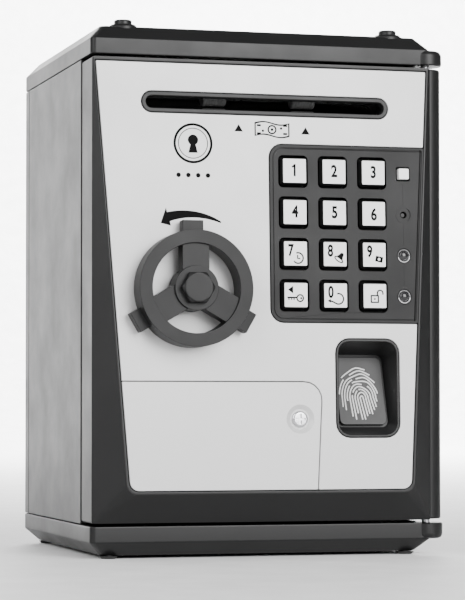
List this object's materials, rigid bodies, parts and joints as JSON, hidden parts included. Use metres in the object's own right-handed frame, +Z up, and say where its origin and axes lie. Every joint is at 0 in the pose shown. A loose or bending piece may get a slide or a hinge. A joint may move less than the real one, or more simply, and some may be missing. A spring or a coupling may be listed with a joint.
{
  "type": "toy atm savings bank",
  "caption": "Toy savings bank shaped like a small safe, with a hinged keypad door, note feed slot, handwheel latch, finger rest and battery bay.",
  "frame": {"origin": "on the surface it stands on, under the middle of the whole object", "axes": "+X to the right as seen from the front, +Y from the door to the back, +Z up"},
  "size_m": [0.1326, 0.1368, 0.1917],
  "materials": {
    "black_plastic": "satin moulding",
    "silver_plastic": "silver paint, satin",
    "grey_plastic": "fine matt texture",
    "inner_plastic": "plain moulding",
    "rubber": "matt",
    "steel": "zinc plated",
    "circuit_board": "green lacquer",
    "white_plastic": "milky",
    "gear_plastic": "natural",
    "brass": "turned",
    "cell_sleeve": "plain sleeve",
    "smoked_lens": "smoked, glossy"
  },
  "bodies": {
    "case": {"base": "black_plastic", "lid": "black_plastic", "foot_front_left": "rubber", "foot_front_right": "rubber", "foot_back_left": "rubber", "foot_back_right": "rubber", "side_panel_left": "black_plastic", "side_panel_right": "black_plastic", "rear_cover": "black_plastic", "hinge_pin_lower": "steel", "hinge_pin_upper": "steel"},
    "door": {"door_frame": "black_plastic", "front_plate": "silver_plastic", "note_slot_bezel": "grey_plastic", "finger_well": "grey_plastic", "finger_pad": "inner_plastic", "key_mat": "rubber", "circuit_board": "circuit_board", "power_lamp_lens": "white_plastic", "status_lamp_upper": "smoked_lens", "status_lamp_lower": "smoked_lens", "lock_solenoid": "steel", "feed_bracket_left": "inner_plastic", "feed_bracket_right": "inner_plastic", "feed_motor": "steel", "battery_1": "cell_sleeve", "battery_2": "cell_sleeve", "battery_3": "cell_sleeve", "speaker": "inner_plastic", "inner_cover": "inner_plastic"},
    "wheel": {"handwheel": "grey_plastic", "hub_nut": "grey_plastic", "wheel_shaft": "inner_plastic", "crank_disc": "inner_plastic"},
    "bolt": {"latch_bolt": "steel"},
    "plunger": {"lock_plunger": "brass"},
    "reset": {"reset_button": "grey_plastic"},
    "feed": {"feed_shaft": "steel", "feed_roller_left": "rubber", "feed_roller_right": "rubber", "feed_gear": "gear_plastic"},
    "pinion": {"motor_pinion": "gear_plastic"},
    "pinch": {"pinch_shaft": "steel", "pinch_roller_left": "rubber", "pinch_roller_right": "rubber"},
    "cover": {"battery_cover": "silver_plastic"},
    "screw": {"battery_screw": "steel"},
    "button_1": {"key_1": "silver_plastic"},
    "button_2": {"key_2": "silver_plastic"},
    "button_3": {"key_3": "silver_plastic"},
    "button_4": {"key_4": "silver_plastic"},
    "button_5": {"key_5": "silver_plastic"},
    "button_6": {"key_6": "silver_plastic"},
    "button_7": {"key_7": "silver_plastic"},
    "button_8": {"key_8": "silver_plastic"},
    "button_9": {"key_9": "silver_plastic"},
    "button_back": {"key_back": "silver_plastic"},
    "button_0": {"key_0": "silver_plastic"},
    "button_unlock": {"key_unlock": "silver_plastic"}
  },
  "joints": [
    {"name": "door_hinge", "type": "hinge", "parent": "case", "child": "door", "pos_m": [0.06025, -0.04556, 0.095], "axis": [0, 0, 1], "range_deg": [0, 110]},
    {"name": "wheel_turn", "type": "hinge", "parent": "door", "child": "wheel", "pos_m": [-0.03155, -0.05965, 0.09509], "axis": [0, -0.9993, 0.0373], "range_deg": [-60, 0]},
    {"name": "bolt_slide", "type": "slide", "parent": "door", "child": "bolt", "axis": [1, 0, 0], "range_m": [-0.00461, 0]},
    {"name": "lock_slide", "type": "slide", "parent": "door", "child": "plunger", "axis": [0, -0.0373, -0.9993], "range_m": [-0.0025, 0]},
    {"name": "press_1", "type": "slide", "parent": "door", "child": "button_1", "axis": [0, 0.9993, -0.0373], "range_m": [0, 0.001], "stiffness_N_per_m": 400},
    {"name": "press_2", "type": "slide", "parent": "door", "child": "button_2", "axis": [0, 0.9993, -0.0373], "range_m": [0, 0.001], "stiffness_N_per_m": 400},
    {"name": "press_3", "type": "slide", "parent": "door", "child": "button_3", "axis": [0, 0.9993, -0.0373], "range_m": [0, 0.001], "stiffness_N_per_m": 400},
    {"name": "press_4", "type": "slide", "parent": "door", "child": "button_4", "axis": [0, 0.9993, -0.0373], "range_m": [0, 0.001], "stiffness_N_per_m": 400},
    {"name": "press_5", "type": "slide", "parent": "door", "child": "button_5", "axis": [0, 0.9993, -0.0373], "range_m": [0, 0.001], "stiffness_N_per_m": 400},
    {"name": "press_6", "type": "slide", "parent": "door", "child": "button_6", "axis": [0, 0.9993, -0.0373], "range_m": [0, 0.001], "stiffness_N_per_m": 400},
    {"name": "press_7", "type": "slide", "parent": "door", "child": "button_7", "axis": [0, 0.9993, -0.0373], "range_m": [0, 0.001], "stiffness_N_per_m": 400},
    {"name": "press_8", "type": "slide", "parent": "door", "child": "button_8", "axis": [0, 0.9993, -0.0373], "range_m": [0, 0.001], "stiffness_N_per_m": 400},
    {"name": "press_9", "type": "slide", "parent": "door", "child": "button_9", "axis": [0, 0.9993, -0.0373], "range_m": [0, 0.001], "stiffness_N_per_m": 400},
    {"name": "press_back", "type": "slide", "parent": "door", "child": "button_back", "axis": [0, 0.9993, -0.0373], "range_m": [0, 0.001], "stiffness_N_per_m": 400},
    {"name": "press_0", "type": "slide", "parent": "door", "child": "button_0", "axis": [0, 0.9993, -0.0373], "range_m": [0, 0.001], "stiffness_N_per_m": 400},
    {"name": "press_unlock", "type": "slide", "parent": "door", "child": "button_unlock", "axis": [0, 0.9993, -0.0373], "range_m": [0, 0.001], "stiffness_N_per_m": 400},
    {"name": "press_reset", "type": "slide", "parent": "door", "child": "reset", "axis": [0, 0.9993, -0.0373], "range_m": [0, 0.0005], "stiffness_N_per_m": 300},
    {"name": "feed_turn", "type": "hinge", "parent": "door", "child": "feed", "pos_m": [-0.00285, -0.04257, 0.15614], "axis": [1, 0, 0], "continuous": true},
    {"name": "pinion_turn", "type": "hinge", "parent": "door", "child": "pinion", "pos_m": [-0.05435, -0.04288, 0.14784], "axis": [1, 0, 0], "continuous": true},
    {"name": "pinch_turn", "type": "hinge", "parent": "door", "child": "pinch", "pos_m": [-0.00285, -0.04222, 0.16533], "axis": [1, 0, 0], "continuous": true},
    {"name": "cover_lift", "type": "slide", "parent": "door", "child": "cover", "axis": [0, -0.9993, 0.0373], "range_m": [0, 0.03]},
    {"name": "screw_turn", "type": "hinge", "parent": "cover", "child": "screw", "pos_m": [0.009, -0.05636, 0.0493], "axis": [0, -0.9993, 0.0373], "continuous": true}
  ],
  "couplings": [
    {"joint": "bolt_slide", "follows": "wheel_turn", "m_per_rad": 0.004393},
    {"joint": "pinion_turn", "follows": "feed_turn", "ratio": -1.5},
    {"joint": "pinch_turn", "follows": "feed_turn", "ratio": -1.3333}
  ]
}
